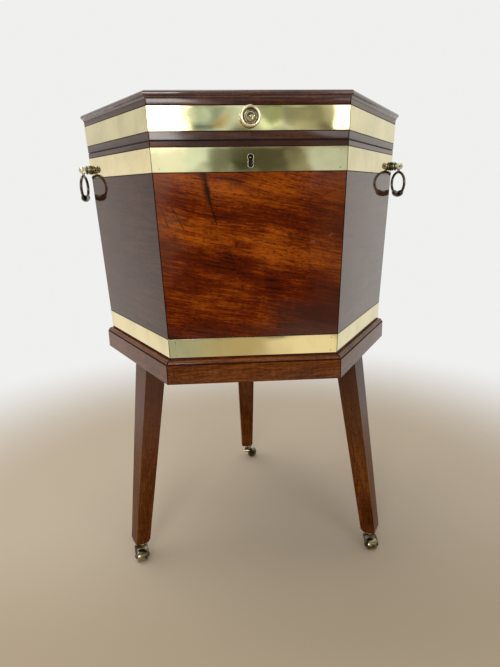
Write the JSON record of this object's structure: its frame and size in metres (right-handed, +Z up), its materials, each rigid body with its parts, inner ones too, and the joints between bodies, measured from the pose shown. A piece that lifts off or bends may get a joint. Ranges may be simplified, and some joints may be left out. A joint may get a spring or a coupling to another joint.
{
  "type": "cellarette",
  "caption": "Brass-bound hexagonal wine cooler: a tapering casket with a hinged lid and ring handles, on a moulded stand with splayed tapering legs and swivel castors.",
  "frame": {"origin": "on the floor, on the vertical axis of the hexagonal casket", "axes": "+Z up, -Y to the front (keyhole and knob), +X to the right as seen from the front"},
  "size_m": [0.515, 0.467, 0.7065],
  "materials": {
    "mahogany_case": "french-polished, old",
    "mahogany_stand": "polished, worn at the arrises",
    "carcass_wood": "unfinished, darkened",
    "band_brass": "polished, slightly wavy",
    "pin_brass": "polished flush with the bands",
    "knob_brass": "polished rim, toned grooves",
    "handle_brass": "dark, toned, worn bright on the edges",
    "castor_brass": "dark, toned, with bright wear",
    "lock_brass": "plain, dull",
    "dark_steel": "dull, oiled",
    "lining_metal": "dull grey sheet"
  },
  "bodies": {
    "stand": {"stand_rail_front": "mahogany_stand", "stand_rail_front_right": "mahogany_stand", "stand_rail_back_right": "mahogany_stand", "stand_rail_back": "mahogany_stand", "stand_rail_back_left": "mahogany_stand", "stand_rail_front_left": "mahogany_stand", "leg_front_left": "mahogany_stand", "leg_front_right": "mahogany_stand", "leg_back": "mahogany_stand", "leg_screws": "dark_steel", "glue_blocks": "carcass_wood", "castor_stem_front_left": "castor_brass", "castor_stem_front_right": "castor_brass", "castor_stem_back": "castor_brass"},
    "case": {"case_side_front": "mahogany_case", "case_side_front_right": "mahogany_case", "case_side_back_right": "mahogany_case", "case_side_back": "mahogany_case", "case_side_back_left": "mahogany_case", "case_side_front_left": "mahogany_case", "case_bottom": "carcass_wood", "case_lining": "lining_metal", "rim_band": "band_brass", "base_band": "band_brass", "case_band_pins": "pin_brass", "keyhole_escutcheon": "band_brass", "lock_case": "lock_brass", "lock_key_pin": "dark_steel", "case_screws": "dark_steel", "handle_post_right": "handle_brass", "handle_post_left": "handle_brass", "handle_pins": "handle_brass", "handle_nuts": "handle_brass", "hinge_case_leaves": "lock_brass", "hinge_pins": "dark_steel"},
    "lid": {"lid_side_front": "mahogany_case", "lid_side_front_right": "mahogany_case", "lid_side_back_right": "mahogany_case", "lid_side_back": "mahogany_case", "lid_side_back_left": "mahogany_case", "lid_side_front_left": "mahogany_case", "lid_board": "mahogany_case", "lid_band": "band_brass", "lid_band_pins": "pin_brass", "lid_knob": "knob_brass", "link_plate": "lock_brass", "lid_screws": "dark_steel", "hinge_lid_leaves": "lock_brass"},
    "ring_right": {"handle_ring_right": "handle_brass"},
    "ring_left": {"handle_ring_left": "handle_brass"},
    "lock_bolt": {"lock_bolt": "lock_brass"},
    "castor_front_left": {"castor_fork_front_left": "castor_brass", "castor_axle_front_left": "castor_brass"},
    "wheel_front_left": {"castor_wheel_front_left": "castor_brass"},
    "castor_front_right": {"castor_fork_front_right": "castor_brass", "castor_axle_front_right": "castor_brass"},
    "wheel_front_right": {"castor_wheel_front_right": "castor_brass"},
    "castor_back": {"castor_fork_back": "castor_brass", "castor_axle_back": "castor_brass"},
    "wheel_back": {"castor_wheel_back": "castor_brass"}
  },
  "joints": [
    {"name": "case_lift", "type": "slide", "parent": "stand", "child": "case", "axis": [0, 0, 1], "range_m": [0, 0.06]},
    {"name": "lid_hinge", "type": "hinge", "parent": "case", "child": "lid", "pos_m": [0, 0.2109, 0.6515], "axis": [-1, 0, 0], "range_deg": [0, 100]},
    {"name": "ring_right_swing", "type": "hinge", "parent": "case", "child": "ring_right", "pos_m": [0.2512, 0, 0.627], "axis": [0, -1, 0], "range_deg": [-10, 160]},
    {"name": "ring_left_swing", "type": "hinge", "parent": "case", "child": "ring_left", "pos_m": [-0.2512, 0, 0.627], "axis": [0, 1, 0], "range_deg": [-10, 160]},
    {"name": "lock_bolt_slide", "type": "slide", "parent": "case", "child": "lock_bolt", "axis": [1, 0, 0], "range_m": [0, 0.006]},
    {"name": "swivel_front_left", "type": "hinge", "parent": "stand", "child": "castor_front_left", "pos_m": [-0.19242, -0.10532, 0.0206], "axis": [0, 0, 1], "continuous": true},
    {"name": "roll_front_left", "type": "hinge", "parent": "castor_front_left", "child": "wheel_front_left", "pos_m": [-0.18944, -0.11643, 0.01], "axis": [0.9659, 0.2588, 0], "continuous": true},
    {"name": "swivel_front_right", "type": "hinge", "parent": "stand", "child": "castor_front_right", "pos_m": [0.19643, -0.11237, 0.0206], "axis": [0, 0, 1], "continuous": true},
    {"name": "roll_front_right", "type": "hinge", "parent": "castor_front_right", "child": "wheel_front_right", "pos_m": [0.19643, -0.12387, 0.01], "axis": [1, 0, 0], "continuous": true},
    {"name": "swivel_back", "type": "hinge", "parent": "stand", "child": "castor_back", "pos_m": [0, 0.2267, 0.0206], "axis": [0, 0, 1], "continuous": true},
    {"name": "roll_back", "type": "hinge", "parent": "castor_back", "child": "wheel_back", "pos_m": [0.01132, 0.2247, 0.01], "axis": [0.1736, 0.9848, 0], "continuous": true}
  ]
}
